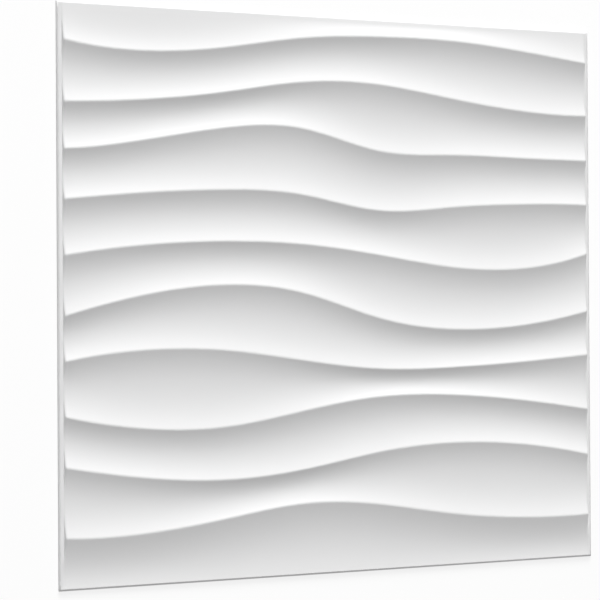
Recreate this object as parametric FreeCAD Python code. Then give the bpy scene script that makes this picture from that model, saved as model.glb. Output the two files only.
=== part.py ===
import FreeCAD, Part
import math
import os

# A square wall tile, moulded in one piece with a flat back. Its face is ten wavy crest lines with
# a concave scoop between each pair. The tile lies on its back: X runs along the crests, Y goes up
# the wall, and Z stands out of the wall. The origin is under the middle of the tile.

# Overall size, mm
panel_size = 500.0

# Flat rim round the wave field. Its outer edge stands straight, then rounds over to the face.
rim_width = 4.8
edge_flat = 1.1
edge_radius = 1.9

# Wave field: height of the crests above the rim, and slant of the walls at the ends of the waves
crest_rise = 4.2
wall_draft = 17.0

# A scoop of the plain width has the plain depth, from its crests to its lowest line. A wider one
# is deeper and a narrower one shallower, by this share of the difference in width. A wider one
# also has a flatter floor and steeper sides, by the second share.
plain_scoop_width = 50.0
plain_scoop_depth = 3.9
scoop_deepening = 0.3
floor_flattening = 0.35

# The crests are spaced evenly up the tile. Each row is one crest, from the top of the tile down:
# how far it stands above its even place at stations spaced equally from the left to the right edge.
crest_swings = (
    (-7, -15, -9, 3, 8, 8, 2, -7),
    (-11, -7, 2, 14, 15, 5, -4, -6),
    (-1, 8, 21, 23, 5, 3, 2, 1),
    (6, 13, 17, 14, 1, 5, 9, 9),
    (8, 18, 22, 20, 11, 0, -1, 15),
    (6, 25, 34, 27, 4, -7, -4, 10),
    (18, 28, 27, 17, 8, 8, 12, 18),
    (24, 11, 10, 22, 33, 33, 26, 15),
    (31, 19, 14, 20, 33, 39, 35, 22),
    (21, 21, 30, 40, 36, 24, 17, 17),
)

half_size = panel_size / 2
field_edge = half_size - rim_width
rim_top = edge_flat + edge_radius
crest_top = rim_top + crest_rise
crest_pitch = panel_size / len(crest_swings)
station_step = panel_size / (len(crest_swings[0]) - 1)


def crest_curve(number):
    """Plan line of one crest, with number 0 nearest to the top edge of the tile."""
    even_place = half_size - (number + 0.5) * crest_pitch
    points = []
    places = []
    for station, swing in enumerate(crest_swings[number]):
        points.append(FreeCAD.Vector(station * station_step - half_size, even_place + swing, 0))
        places.append(station * station_step)
    curve = Part.BSplineCurve()
    curve.interpolate(Points=points, Parameters=places)
    return curve


def flank_heights(flank_width, meets_rim):
    """Heights of the four control points from a crest down to the lowest line of its scoop.

    Two thirds of the depth in the first step gives a parabola, and the last two points are level,
    so that the two flanks of a scoop meet smoothly. A flank that meets the rim ends at its height.
    """
    extra_width = 2 * flank_width / plain_scoop_width - 1
    depth = crest_rise if meets_rim else plain_scoop_depth * (1 + scoop_deepening * extra_width)
    first_drop = min(depth * (1 + floor_flattening * max(extra_width, 0)) * 2 / 3, depth)
    return (crest_top, crest_top - first_drop, crest_top - depth, crest_top - depth)


def flank_faces(crest, lowest_places, meets_rim):
    """Steep and level halves of the surface from a crest to the lowest line of its scoop."""
    rows = []
    for pole, lowest in zip(crest.getPoles(), lowest_places):
        heights = flank_heights(abs(lowest - pole.y), meets_rim)
        row = []
        for step, height in enumerate(heights):
            share = step / (len(heights) - 1)
            row.append(FreeCAD.Vector(pole.x, pole.y + (lowest - pole.y) * share, height))
        rows.append(row)
    across = len(rows[0])
    flank = Part.BSplineSurface()
    flank.buildFromPolesMultsKnots(
        rows, crest.getMultiplicities(), (across, across), crest.getKnots(), (0.0, 1.0),
        False, False, crest.Degree, across - 1,
    )
    faces = []
    for start, end in ((0.0, 0.5), (0.5, 1.0)):
        half = flank.copy()
        half.segment(crest.FirstParameter, crest.LastParameter, start, end)
        faces.append(half.toShape())
    return faces


def wave_skin():
    """All the scoops as one open skin. The outermost flanks run out level at the field's edges."""
    crests = [crest_curve(number) for number in range(len(crest_swings))]
    pole_count = len(crests[0].getPoles())
    lowest_lines = [[field_edge] * pole_count]
    for upper, lower in zip(crests, crests[1:]):
        lowest_lines.append([(a.y + b.y) / 2 for a, b in zip(upper.getPoles(), lower.getPoles())])
    lowest_lines.append([-field_edge] * pole_count)
    faces = []
    for crest, above, below in zip(crests, lowest_lines, lowest_lines[1:]):
        faces += flank_faces(crest, above, above is lowest_lines[0])
        faces += flank_faces(crest, below, below is lowest_lines[-1])
    skin = Part.makeShell(faces)
    skin.sewShape()
    return skin


def field_block():
    """Block that the wave field is cut from: upright up to the rim, with slanting ends above it."""
    crown_height = crest_top + crest_rise
    crown_edge = field_edge - (crown_height - rim_top) * math.tan(math.radians(wall_draft))
    corners = (
        (-field_edge, 0),
        (field_edge, 0),
        (field_edge, rim_top),
        (crown_edge, crown_height),
        (-crown_edge, crown_height),
        (-field_edge, rim_top),
    )
    outline = [FreeCAD.Vector(x, -field_edge, z) for x, z in corners]
    section = Part.Face(Part.makePolygon(outline + outline[:1]))
    return section.extrude(FreeCAD.Vector(0, 2 * field_edge, 0))


def wave_field():
    """The block, cut off along the wave skin."""
    pieces, history = field_block().generalFuse([wave_skin()])
    return min(pieces.Solids, key=lambda solid: solid.CenterOfMass.z)


def rim_frame():
    """Square frame round the wave field, with its upper outer edge rounded over."""
    plate = Part.makeBox(panel_size, panel_size, rim_top, FreeCAD.Vector(-half_size, -half_size, 0))
    upper_edges = []
    for edge in plate.Edges:
        if all(abs(vertex.Z - rim_top) < 1e-6 for vertex in edge.Vertexes):
            upper_edges.append(edge)
    rounded = plate.makeFillet(edge_radius, upper_edges)
    opening = Part.makeBox(
        2 * field_edge, 2 * field_edge, rim_top, FreeCAD.Vector(-field_edge, -field_edge, 0)
    )
    return rounded.cut(opening)


def wave_panel():
    """The whole tile: the rim frame and the wave field in one."""
    return rim_frame().fuse(wave_field()).removeSplitter()


os.makedirs("parts", exist_ok=True)
wave_panel().exportStep("parts/wave_panel.step")
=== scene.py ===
import logging
import math
from dataclasses import dataclass
from enum import Enum
from functools import cached_property

import bmesh
import bpy
import numpy as np
from mathutils import Matrix, Vector


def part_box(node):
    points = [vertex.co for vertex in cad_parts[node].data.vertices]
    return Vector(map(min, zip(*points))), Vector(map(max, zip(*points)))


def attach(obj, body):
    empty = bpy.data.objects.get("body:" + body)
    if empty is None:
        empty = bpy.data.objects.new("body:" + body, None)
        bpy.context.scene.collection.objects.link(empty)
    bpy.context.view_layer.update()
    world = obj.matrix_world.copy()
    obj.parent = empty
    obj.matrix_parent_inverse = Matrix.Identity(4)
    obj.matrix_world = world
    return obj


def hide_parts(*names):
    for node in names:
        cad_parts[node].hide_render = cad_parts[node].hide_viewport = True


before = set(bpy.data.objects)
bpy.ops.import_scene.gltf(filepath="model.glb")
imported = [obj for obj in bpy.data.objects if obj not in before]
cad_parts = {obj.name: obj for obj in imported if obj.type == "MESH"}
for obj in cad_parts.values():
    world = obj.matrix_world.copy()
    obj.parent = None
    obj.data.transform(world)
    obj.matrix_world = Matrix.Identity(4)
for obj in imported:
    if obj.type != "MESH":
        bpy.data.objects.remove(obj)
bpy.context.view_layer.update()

# A moulded wall tile with a wave relief. It lies on its back on a pale floor: X runs along the
# crests, Y goes up the wall and Z stands out of the wall. All lengths are in metres.

log = logging.getLogger("wave_tile")

MM = 0.001
TILE_NODE = "wave_panel"

# A colour Mix node's own sockets, which share their names with those of its other kinds
MIX_FIRST_COLOUR = 6
MIX_SECOND_COLOUR = 7
MIX_MIXED_COLOUR = 2


class Wall(Enum):
    """Slanting wall at one end of the waves. The value is the way that it faces along X."""

    LEFT = -1.0
    RIGHT = 1.0

    @property
    def outward(self) -> Vector:
        """Level unit vector out of the tile on this side."""
        return Vector((self.value, 0.0, 0.0))


@dataclass(frozen=True)
class NodePen:
    """Adds and links the nodes of one material."""

    tree: bpy.types.NodeTree

    def add(self, kind: str, **settings: object) -> bpy.types.Node:
        """Adds one node.

        Args:
            kind: Blender's name of the node type.
            **settings: Properties of the node, or values of its input sockets by name.

        Returns:
            The new node.
        """
        node = self.tree.nodes.new(kind)
        for name, value in settings.items():
            if hasattr(node, name):
                setattr(node, name, value)
            else:
                node.inputs[name.replace("_", " ")].default_value = value
        return node

    def link(self, source: bpy.types.NodeSocket, target: bpy.types.NodeSocket) -> None:
        """Joins an output socket to an input socket."""
        self.tree.links.new(source, target)


@dataclass(frozen=True)
class MattWhite:
    """Finish of the moulded face: matt white, with a fine skin grain and slight unevenness.

    The clouds are soft patches of the two whites, the grain is the mould's fine skin, and the sway is
    the slow unevenness of the face. A scale is in grains per metre.
    """

    name: str = "matt_white"
    pale: tuple[float, float, float, float] = (0.905, 0.905, 0.905, 1.0)
    dull: tuple[float, float, float, float] = (0.885, 0.885, 0.888, 1.0)
    gloss: float = 0.35
    smoothest: float = 0.5
    roughest: float = 0.68
    cloud_scale: float = 14.0
    cloud_detail: float = 3.0
    grain_scale: float = 1900.0
    grain_detail: float = 4.0
    grain_height: float = 0.012 * MM
    sway_scale: float = 45.0
    sway_detail: float = 2.0
    sway_height: float = 0.03 * MM

    def make(self) -> bpy.types.Material:
        """Builds the material.

        Returns:
            The new material, which reads Object coordinates.
        """
        material = bpy.data.materials.new(self.name)
        material.use_nodes = True
        material.node_tree.nodes.clear()
        pen = NodePen(material.node_tree)
        place = pen.add("ShaderNodeTexCoord").outputs["Object"]
        surface = pen.add("ShaderNodeBsdfPrincipled", Specular_IOR_Level=self.gloss)
        output = pen.add("ShaderNodeOutputMaterial")
        pen.link(surface.outputs["BSDF"], output.inputs["Surface"])

        clouds = self.noise(pen, place, self.cloud_scale, self.cloud_detail)
        tint = pen.add("ShaderNodeMix", data_type="RGBA")
        tint.inputs[MIX_FIRST_COLOUR].default_value = self.dull
        tint.inputs[MIX_SECOND_COLOUR].default_value = self.pale
        pen.link(clouds, tint.inputs["Factor"])
        pen.link(tint.outputs[MIX_MIXED_COLOUR], surface.inputs["Base Color"])

        grain = self.noise(pen, place, self.grain_scale, self.grain_detail)
        rough = pen.add("ShaderNodeMapRange", To_Min=self.smoothest, To_Max=self.roughest)
        pen.link(grain, rough.inputs["Value"])
        pen.link(rough.outputs["Result"], surface.inputs["Roughness"])

        sway = self.noise(pen, place, self.sway_scale, self.sway_detail)
        slow = pen.add("ShaderNodeBump", Strength=1.0, Distance=self.sway_height)
        fine = pen.add("ShaderNodeBump", Strength=1.0, Distance=self.grain_height)
        pen.link(sway, slow.inputs["Height"])
        pen.link(grain, fine.inputs["Height"])
        pen.link(slow.outputs["Normal"], fine.inputs["Normal"])
        pen.link(fine.outputs["Normal"], surface.inputs["Normal"])
        return material

    def noise(self, pen: NodePen, place: bpy.types.NodeSocket, scale: float,
              detail: float) -> bpy.types.NodeSocket:
        """Adds one noise pattern.

        Args:
            pen: Pen of the material.
            place: Socket with the coordinates.
            scale: Grains per metre.
            detail: Number of finer layers.

        Returns:
            The socket with the pattern's value.
        """
        pattern = pen.add("ShaderNodeTexNoise", Scale=scale, Detail=detail)
        pen.link(place, pattern.inputs["Vector"])
        return pattern.outputs["Fac"]


@dataclass(frozen=True)
class PaleFloor:
    """Finish of the studio floor, which a camera ray sees white where no shadow falls.

    The lift is what the camera sees on top of the light that the floor gives back.
    """

    name: str = "pale_floor"
    colour: tuple[float, float, float, float] = (0.3, 0.3, 0.3, 1.0)
    lift: float = 0.745

    def make(self) -> bpy.types.Material:
        """Builds the material.

        Returns:
            The new material.
        """
        material = bpy.data.materials.new(self.name)
        material.use_nodes = True
        material.node_tree.nodes.clear()
        pen = NodePen(material.node_tree)
        matt = pen.add("ShaderNodeBsdfDiffuse", Color=self.colour)
        glow = pen.add("ShaderNodeEmission")
        both = pen.add("ShaderNodeAddShader")
        output = pen.add("ShaderNodeOutputMaterial")
        strength = pen.add("ShaderNodeMath", operation="MULTIPLY")
        strength.inputs[1].default_value = self.lift
        pen.link(seen_ray(pen), strength.inputs[0])
        pen.link(strength.outputs[0], glow.inputs["Strength"])
        pen.link(matt.outputs[0], both.inputs[0])
        pen.link(glow.outputs[0], both.inputs[1])
        pen.link(both.outputs[0], output.inputs["Surface"])
        return material


def seen_ray(pen: NodePen) -> bpy.types.NodeSocket:
    """Adds a test for the rays that show a background: camera, glossy and transmission rays.

    Args:
        pen: Pen of the material or world.

    Returns:
        The socket that is 1 for such a ray and 0 for any other.
    """
    path = pen.add("ShaderNodeLightPath")
    mirror = pen.add("ShaderNodeMath", operation="MAXIMUM")
    seen = pen.add("ShaderNodeMath", operation="MAXIMUM")
    pen.link(path.outputs["Is Glossy Ray"], mirror.inputs[0])
    pen.link(path.outputs["Is Transmission Ray"], mirror.inputs[1])
    pen.link(path.outputs["Is Camera Ray"], seen.inputs[0])
    pen.link(mirror.outputs[0], seen.inputs[1])
    return seen.outputs[0]


@dataclass(frozen=True)
class CrestLine:
    """Plan line of one crest: a cubic spline through evenly spaced stations."""

    start: float
    step: float
    places: tuple[float, ...]

    @cached_property
    def slopes(self) -> np.ndarray:
        """Finds the spline's slopes. At the two ends it follows the cubic through four stations.

        Returns:
            The slope at each station.
        """
        y = np.array(self.places)
        # Weights of the first four stations in the slope of their cubic at the first one
        end_weights = np.array([-11.0, 18.0, -9.0, 2.0]) / (6 * self.step)
        system = np.eye(len(y))
        right_side = np.zeros(len(y))
        right_side[0] = end_weights @ y[:4]
        right_side[-1] = -end_weights @ y[:-5:-1]
        for station in range(1, len(y) - 1):
            system[station, station - 1:station + 2] = (1.0, 4.0, 1.0)
            right_side[station] = 3 * (y[station + 1] - y[station - 1]) / self.step
        return np.linalg.solve(system, right_side)

    def place(self, x: float) -> float:
        """Finds the crest's place up the tile.

        Args:
            x: Place along the tile.

        Returns:
            The crest's Y there.
        """
        along = (x - self.start) / self.step
        left = min(max(math.floor(along), 0), len(self.places) - 2)
        t = along - left
        near, far = self.places[left:left + 2]
        near_slope, far_slope = self.slopes[left:left + 2] * self.step
        return (
            near + near_slope * t
            + (3 * (far - near) - 2 * near_slope - far_slope) * t ** 2
            + (2 * (near - far) + near_slope + far_slope) * t ** 3
        )


@dataclass
class WaveTile:
    """The moulded tile: wave field, end walls, rim, rounded edge and flat back, as one mesh."""

    side: float
    crest_top: float
    rim_width: float = 4.8 * MM
    edge_radius: float = 1.9 * MM
    crest_rise: float = 4.2 * MM

    # How far each end wall leans in. The right one is steeper than drawn.
    left_draft: float = math.radians(17.0)
    right_draft: float = math.radians(6.0)

    # A scoop of the plain width has the plain depth. A wider one is deeper, by the first share of the
    # difference in width, and has a flatter floor, by the second.
    plain_scoop_width: float = 50.0 * MM
    plain_scoop_depth: float = 3.9 * MM
    scoop_deepening: float = 0.3
    floor_flattening: float = 0.35

    # Slopes of the half scoops at the top and bottom edges: at their crests, and where they run out
    # over the rim. There the top one still falls, by this slope where it is as wide as a plain scoop
    # and by more where it is narrower. The bottom one rises again.
    top_crest_slope: float = 0.31
    top_edge_fall: float = 0.05
    bottom_crest_slope: float = 0.26
    bottom_edge_rise: float = 0.1

    # Softness of the real mould's edges, which the drawing leaves sharp
    crest_softness: float = 1.2 * MM
    border_softness: float = 1.5 * MM
    foot_softness: float = 1.2 * MM

    # The outer edge is rounded by a flattish arc, with a crease of this angle at its two ends
    edge_crease: float = math.radians(30.0)

    # Fineness of the mesh. The first row of a flank lies past the rounding of its crest. The hold is
    # a narrow strip that keeps a flat face flat up to its rounding, and the ring gap keeps the rings
    # at the foot of a wall apart where the wall has no height. What lies within the closeness of a
    # wall or the rim counts as on it.
    columns: int = 200
    rows_per_flank: int = 10
    first_row: float = 1.7 * MM
    crest_steps: int = 6
    soft_steps: int = 4
    edge_steps: int = 8
    hold: float = 0.15 * MM
    ring_gap: float = 0.02 * MM
    closeness: float = 0.01 * MM
    cut_closeness: float = 0.0001 * MM
    sharpest_smooth: float = math.radians(60.0)

    # How far each crest stands above its even place, in mm, at even stations from left to right.
    # The rows go from the top of the tile down.
    crest_swings: tuple[tuple[float, ...], ...] = (
        (-7, -15, -9, 3, 8, 8, 2, -7),
        (-11, -7, 2, 14, 15, 5, -4, -6),
        (-1, 8, 21, 23, 5, 3, 2, 1),
        (6, 13, 17, 14, 1, 5, 9, 9),
        (8, 18, 22, 20, 11, 0, -1, 15),
        (6, 25, 34, 27, 4, -7, -4, 10),
        (18, 28, 27, 17, 8, 8, 12, 18),
        (24, 11, 10, 22, 33, 33, 26, 15),
        (31, 19, 14, 20, 33, 39, 35, 22),
        (21, 21, 30, 40, 36, 24, 17, 17),
    )

    @property
    def half(self) -> float:
        """Half of the tile's side."""
        return self.side / 2

    @property
    def rim_top(self) -> float:
        """Height of the flat rim."""
        return self.crest_top - self.crest_rise

    @property
    def foot(self) -> float:
        """Distance from the middle of the tile to the inner edge of the rim."""
        return self.half - self.rim_width

    @property
    def rim_flat(self) -> float:
        """Width of the rim from its inner edge to the rounding."""
        return self.rim_width - self.edge_radius

    def draft(self, wall: Wall) -> float:
        """Angle by which an end wall leans in."""
        return self.left_draft if wall is Wall.LEFT else self.right_draft

    def slant(self, wall: Wall) -> float:
        """How far an end wall leans in for each metre that it rises."""
        return math.tan(self.draft(wall))

    @cached_property
    def crests(self) -> list[CrestLine]:
        """Lays out the plan lines of the crests.

        Returns:
            All the crest lines, from the top of the tile down.
        """
        pitch = self.side / len(self.crest_swings)
        lines = []
        for number, swings in enumerate(self.crest_swings):
            even_place = self.half - (number + 0.5) * pitch
            step = self.side / (len(swings) - 1)
            lines.append(CrestLine(-self.half, step, tuple(even_place + swing * MM for swing in swings)))
        return lines

    def lowest_place(self, number: int, x: float) -> float:
        """Finds the lowest line of a scoop: halfway between its crests, or along the rim.

        Args:
            number: Number of the scoop. Scoop 0 is the half scoop over the first crest.
            x: Place along the tile.

        Returns:
            The line's Y there.
        """
        if number == 0:
            return self.foot
        if number == len(self.crests):
            return -self.foot
        return (self.crests[number - 1].place(x) + self.crests[number].place(x)) / 2

    def drop(self, distance: float, flank_width: float, scoop: int) -> float:
        """Finds how far a flank lies below the crests.

        A flank is a cubic curve with four control points, from its crest to its lowest line. Two
        thirds of the depth in the first step makes it a parabola.

        Args:
            distance: Level distance from the flank's crest.
            flank_width: Level distance from the crest to the lowest line of its scoop.
            scoop: Number of the scoop. The first and the last one run out onto the rim.

        Returns:
            The depth there.
        """
        relative_width = 2 * flank_width / self.plain_scoop_width
        if scoop == 0:
            end_fall = self.top_edge_fall / relative_width
            first_drop = self.top_crest_slope * flank_width / 3
            depth = self.crest_rise - end_fall * self.rim_flat
        elif scoop == len(self.crests):
            end_fall = -self.bottom_edge_rise
            first_drop = self.bottom_crest_slope * flank_width / 3
            depth = self.crest_rise - end_fall * self.rim_flat
        else:
            end_fall = 0.0
            depth = self.plain_scoop_depth * (1 + self.scoop_deepening * (relative_width - 1))
            flattening = 1 + self.floor_flattening * max(relative_width - 1, 0)
            first_drop = min(depth * flattening * 2 / 3, depth)
        next_drop = depth - end_fall * flank_width / 3
        share = distance / flank_width
        rest = 1 - share
        return (
            first_drop * 3 * rest ** 2 * share
            + next_drop * 3 * rest * share ** 2
            + depth * share ** 3
        )

    def row_distance(self, step: int, flank_width: float) -> float:
        """Spaces the rows of the grid over a flank.

        Args:
            step: Number of the row, with 0 at the crest.
            flank_width: Level distance from the crest to the lowest line of its scoop.

        Returns:
            The row's level distance from the crest.
        """
        if step == 0:
            return 0.0
        share = (step - 1) / (self.rows_per_flank - 1)
        return self.first_row + (flank_width - self.first_row) * share

    def lay_face(self, mesh: bmesh.types.BMesh) -> list[bmesh.types.BMEdge]:
        """Lays a grid of unit size and bends it into the scoops.

        Args:
            mesh: Empty mesh to build in.

        Returns:
            The edges along the crests.
        """
        rows_per_crest = 2 * self.rows_per_flank
        rows = len(self.crests) * rows_per_crest
        bmesh.ops.create_grid(mesh, x_segments=self.columns, y_segments=rows, size=0.5)
        crest_verts = set()
        for vert in mesh.verts:
            row = round((0.5 - vert.co.y) * rows)
            number = min(row // rows_per_crest, len(self.crests) - 1)
            step = row - number * rows_per_crest - self.rows_per_flank
            x = vert.co.x * 2 * self.foot
            scoop = number if step < 0 else number + 1
            crest = self.crests[number].place(x)
            lowest = self.lowest_place(scoop, x)
            flank_width = abs(lowest - crest)
            distance = self.row_distance(abs(step), flank_width)
            drop = self.drop(distance, flank_width, scoop)
            vert.co = (x, crest + math.copysign(distance, lowest - crest), self.crest_top - drop)
            if step == 0:
                crest_verts.add(vert)
        # The bevel of the crests reads the normals of the bent grid
        mesh.normal_update()
        return [edge for edge in mesh.edges if crest_verts.issuperset(edge.verts)]

    def soften_crests(self, mesh: bmesh.types.BMesh, crest_edges: list[bmesh.types.BMEdge]) -> None:
        """Rounds the crests by the softness of the mould, at the height that they had.

        Args:
            mesh: Mesh with the scoops.
            crest_edges: The edges along the crests.
        """
        bmesh.ops.bevel(
            mesh, geom=crest_edges, offset=self.crest_softness, offset_type="OFFSET",
            segments=self.crest_steps, profile=0.5, affect="EDGES", material=-1,
        )
        lost = self.crest_top - max(vert.co.z for vert in mesh.verts)
        for vert in mesh.verts:
            vert.co.z += lost * (vert.co.z - self.rim_top) / (self.crest_rise - lost)

    def depth_inside(self, point: Vector, wall: Wall) -> float:
        """Finds how far a point lies inside the tile from a slanting wall.

        Args:
            point: Point to measure from.
            wall: Wall to measure to, at the point's own height.

        Returns:
            The level distance, negative outside the wall.
        """
        return self.foot - point.dot(wall.outward) - (point.z - self.rim_top) * self.slant(wall)

    def cut_at(self, mesh: bmesh.types.BMesh, wall: Wall, inset: float, clear: bool) -> None:
        """Cuts the face along a wall's plane or a copy of it that is moved inwards.

        Args:
            mesh: Mesh with the scoops.
            wall: Wall whose plane cuts.
            inset: How far inwards the plane is moved.
            clear: Whether what lies outside the plane goes.
        """
        foot_point = wall.outward * (self.foot - inset) + Vector((0, 0, self.rim_top))
        draft = self.draft(wall)
        normal = wall.outward * math.cos(draft) + Vector((0, 0, math.sin(draft)))
        bmesh.ops.bisect_plane(
            mesh, geom=[*mesh.verts, *mesh.edges, *mesh.faces], dist=self.cut_closeness,
            plane_co=foot_point, plane_no=normal, clear_outer=clear,
        )

    def trim_face(self, mesh: bmesh.types.BMesh) -> None:
        """Cuts the face off at the end walls, with lines of edges where the border softens.

        Args:
            mesh: Mesh with the scoops.
        """
        for wall in Wall:
            self.cut_at(mesh, wall, 0.0, clear=True)
            for step in range(self.soft_steps):
                turn = math.pi / 2 * step / self.soft_steps
                self.cut_at(mesh, wall, self.border_softness * (1 - math.sin(turn)), clear=False)

    def mark_border(self, mesh: bmesh.types.BMesh) -> bmesh.types.BMLayerItem:
        """Stores at each vertex on the border which way the tile's edge lies from it.

        Args:
            mesh: Mesh with the trimmed face.

        Returns:
            The layer. It holds the sum of the outward unit vectors, so a corner has both.
        """
        layer = mesh.verts.layers.float_vector.new("outward")
        for vert in mesh.verts:
            if not vert.is_boundary:
                continue
            for wall in Wall:
                at_end = vert.co.dot(wall.outward) > self.foot - self.closeness
                if at_end or abs(self.depth_inside(vert.co, wall)) < self.closeness:
                    vert[layer] = vert[layer] + wall.outward
            if abs(vert.co.y) > self.foot - self.closeness:
                vert[layer] = vert[layer] + Vector((0.0, math.copysign(1.0, vert.co.y), 0.0))
        return layer

    def soften_border(self, mesh: bmesh.types.BMesh) -> None:
        """Rounds the face over towards the end walls, less where the walls are low.

        Args:
            mesh: Mesh with the trimmed face.
        """
        for vert in mesh.verts:
            for wall in Wall:
                nearness = 1 - self.depth_inside(vert.co, wall) / self.border_softness
                if nearness > 0:
                    height = max(vert.co.z - self.rim_top, 0)
                    softness = self.border_softness * height / (height + self.border_softness)
                    drop = softness * (1 - math.sqrt(1 - min(nearness, 1) ** 2))
                    vert.co += wall.outward * (drop * self.slant(wall)) - Vector((0, 0, drop))

    def border_outline(self, rise: float, raised: float) -> list[tuple[float, float]]:
        """Draws the tile's outline outside the face at one place, from the foot of the wall to the floor.

        Args:
            rise: How far the wall rises over the rim there.
            raised: How far the rim's inner edge is raised there to meet the face.

        Returns:
            For each ring of edges, how far it lies outside the foot of the wall, and its height.
        """
        def rim_height(out: float) -> float:
            """Height of the rim, which leans from its inner edge to the rounding."""
            return self.rim_top + raised * (1 - out / self.rim_flat)

        # The foot of both walls is rounded as the left one's slant needs, and less where the wall is low
        foot_turn = math.pi / 2 - self.left_draft
        foot_reach = math.tan(foot_turn / 2)
        foot_radius = self.foot_softness * rise / (rise + self.foot_softness)
        outline = []
        for step in range(self.soft_steps + 1):
            turn = foot_turn * (1 - step / self.soft_steps)
            out = foot_radius * (foot_reach - math.sin(turn)) + self.ring_gap * (step + 1)
            outline.append((out, rim_height(out) + foot_radius * (1 - math.cos(turn))))
        for out in (self.foot_softness * foot_reach + self.hold, self.rim_flat - self.hold):
            outline.append((out, rim_height(out)))
        start = self.edge_crease
        arc_radius = self.edge_radius / (math.cos(start) - math.sin(start))
        for step in range(self.edge_steps + 1):
            turn = start + (math.pi / 2 - 2 * start) * step / self.edge_steps
            out = self.rim_flat + arc_radius * (math.sin(turn) - math.sin(start))
            outline.append((out, self.rim_top - arc_radius * (math.cos(start) - math.cos(turn))))
        outline.append((self.rim_width, self.rim_top - self.edge_radius - self.hold))
        outline.append((self.rim_width, 0.0))
        return outline

    def sweep_rim(self, mesh: bmesh.types.BMesh, outward: bmesh.types.BMLayerItem) -> None:
        """Extrudes the border down the walls, over the rim and down the outer edge, and closes it.

        Args:
            mesh: Mesh with the trimmed and softened face.
            outward: Layer that says which way the tile's edge lies from each border vertex.
        """
        rise = mesh.verts.layers.float.new("wall_rise")
        raised = mesh.verts.layers.float.new("rim_raised")
        for vert in mesh.verts:
            height = vert.co.z - self.rim_top
            # The face meets the rim with no wall between where it is low and at the top and bottom
            runs_out = height < 0 or vert[outward].x == 0
            vert[raised if runs_out else rise] = height
        ring = [edge for edge in mesh.edges if edge.is_boundary]
        for number in range(len(self.border_outline(0.0, 0.0))):
            made = bmesh.ops.extrude_edge_only(mesh, edges=ring)["geom"]
            ring = [item for item in made if isinstance(item, bmesh.types.BMEdge)]
            ring_verts = [item for item in made if isinstance(item, bmesh.types.BMVert)]
            for vert in ring_verts:
                out, up = self.border_outline(vert[rise], vert[raised])[number]
                for axis in (0, 1):
                    if vert[outward][axis]:
                        vert.co[axis] = vert[outward][axis] * (self.foot + out)
                vert.co.z = up
        bmesh.ops.holes_fill(mesh, edges=ring, sides=0)

    def build(self) -> bpy.types.Object:
        """Builds the tile.

        Returns:
            The tile's object, at the origin, with its place in its mesh.
        """
        mesh = bmesh.new()
        crest_edges = self.lay_face(mesh)
        self.soften_crests(mesh, crest_edges)
        self.trim_face(mesh)
        outward = self.mark_border(mesh)
        self.soften_border(mesh)
        self.sweep_rim(mesh, outward)
        bmesh.ops.recalc_face_normals(mesh, faces=mesh.faces)
        for face in mesh.faces:
            face.smooth = True
        for edge in mesh.edges:
            edge.smooth = edge.calc_face_angle(0.0) < self.sharpest_smooth
        data = bpy.data.meshes.new("moulded_tile")
        mesh.to_mesh(data)
        mesh.free()
        tile = bpy.data.objects.new("moulded_tile", data)
        bpy.context.scene.collection.objects.link(tile)
        return tile

    def dress(self, tile: bpy.types.Object, finish: MattWhite) -> None:
        """Gives the tile its finish and puts it in the drawing's place.

        Args:
            tile: The tile's object.
            finish: Finish of the whole surface.
        """
        tile.data.materials.append(finish.make())
        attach(tile, "root")
        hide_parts(TILE_NODE)


@dataclass(frozen=True)
class Softbox:
    """Round soft lamp that points at the middle of the tile, tilted from overhead to its top side."""

    name: str
    strength: float
    tilt: float
    distance: float
    across: float

    def hang(self) -> None:
        """Hangs the lamp. Its strength is the light on a surface at the tile that faces it."""
        lamp = bpy.data.lights.new(self.name, "AREA")
        lamp.shape = "DISK"
        lamp.size = self.across
        lamp.energy = self.strength * math.pi * self.distance ** 2
        holder = bpy.data.objects.new(self.name, lamp)
        place = Matrix.Translation((0.0, 0.0, self.distance))
        holder.matrix_world = Matrix.Rotation(-self.tilt, 4, "X") @ place
        bpy.context.scene.collection.objects.link(holder)


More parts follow.
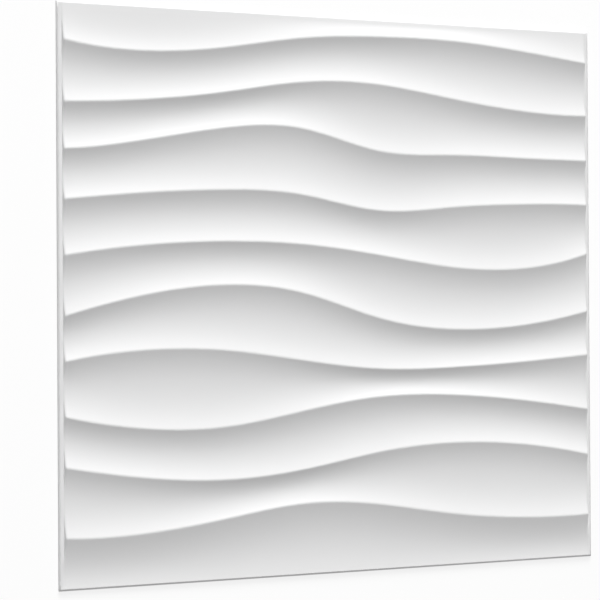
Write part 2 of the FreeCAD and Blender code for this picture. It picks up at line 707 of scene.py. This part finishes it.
@dataclass
class Studio:
    """Pale floor, soft light and camera."""

    floor_side: float = 60.0
    floor_height: float = 0.02 * MM
    sky_strength: float = 0.285
    softboxes: tuple[Softbox, ...] = (
        Softbox("key_softbox", strength=3.4, tilt=math.radians(68.5), distance=12.0, across=5.0),
        Softbox("fill_softbox", strength=0.41, tilt=0.0, distance=7.0, across=3.0),
    )

    # The photograph's camera, for a picture of this many pixels
    image_width: float = 600.0
    focal_pixels: float = 1242.7
    sensor_width: float = 36.0
    eye: tuple[float, float, float] = (-337.9 * MM, -10.2 * MM, 1067.4 * MM)
    aim: tuple[float, float, float] = (-37.2 * MM, -4.7 * MM, 2.8 * MM)
    roll: float = math.radians(-0.338)

    def lay_floor(self) -> None:
        """Lays the floor under the tile, a hair higher than the back, so that they share no plane."""
        mesh = bmesh.new()
        bmesh.ops.create_grid(mesh, x_segments=1, y_segments=1, size=self.floor_side / 2)
        bmesh.ops.translate(mesh, verts=mesh.verts, vec=(0.0, 0.0, self.floor_height))
        data = bpy.data.meshes.new("floor")
        mesh.to_mesh(data)
        mesh.free()
        data.materials.append(PaleFloor().make())
        floor = bpy.data.objects.new("floor", data)
        bpy.context.scene.collection.objects.link(floor)

    def fill_sky(self) -> None:
        """Surrounds the scene with even light, which a camera ray sees as white."""
        world = bpy.data.worlds.new("soft_room")
        bpy.context.scene.world = world
        world.use_nodes = True
        world.node_tree.nodes.clear()
        pen = NodePen(world.node_tree)
        sky = pen.add("ShaderNodeBackground", Color=(1.0, 1.0, 1.0, 1.0))
        strength = pen.add("ShaderNodeMapRange", To_Min=self.sky_strength, To_Max=1.0)
        output = pen.add("ShaderNodeOutputWorld")
        pen.link(seen_ray(pen), strength.inputs["Value"])
        pen.link(strength.outputs["Result"], sky.inputs["Strength"])
        pen.link(sky.outputs[0], output.inputs["Surface"])

    def set_camera(self) -> None:
        """Sets the camera where the photograph was taken from."""
        lens = bpy.data.cameras.new("camera")
        lens.sensor_width = self.sensor_width
        lens.lens = self.focal_pixels / self.image_width * lens.sensor_width
        camera = bpy.data.objects.new("camera", lens)
        forward = (Vector(self.aim) - Vector(self.eye)).normalized()
        right = forward.cross(Vector((0, 1, 0))).normalized()
        turn = Matrix((right, right.cross(forward), -forward)).transposed().to_4x4()
        camera.matrix_world = Matrix.Translation(self.eye) @ turn @ Matrix.Rotation(self.roll, 4, "Z")
        bpy.context.scene.collection.objects.link(camera)
        bpy.context.scene.camera = camera

    def build(self) -> None:
        """Builds everything round the tile."""
        self.lay_floor()
        for softbox in self.softboxes:
            softbox.hang()
        self.fill_sky()
        self.set_camera()
        bpy.context.scene.view_settings.view_transform = "Standard"


def main() -> None:
    """Builds the tile and the studio, and reports each piece."""
    logging.basicConfig(level=logging.INFO, format="%(name)s: %(message)s")
    low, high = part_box(TILE_NODE)
    tile = WaveTile(side=high.x - low.x, crest_top=high.z)
    piece = tile.build()
    tile.dress(piece, MattWhite())
    log.info("%s has %d faces", piece.name, len(piece.data.polygons))
    Studio().build()
    log.info("studio is set")


if __name__ == "__main__":
    main()
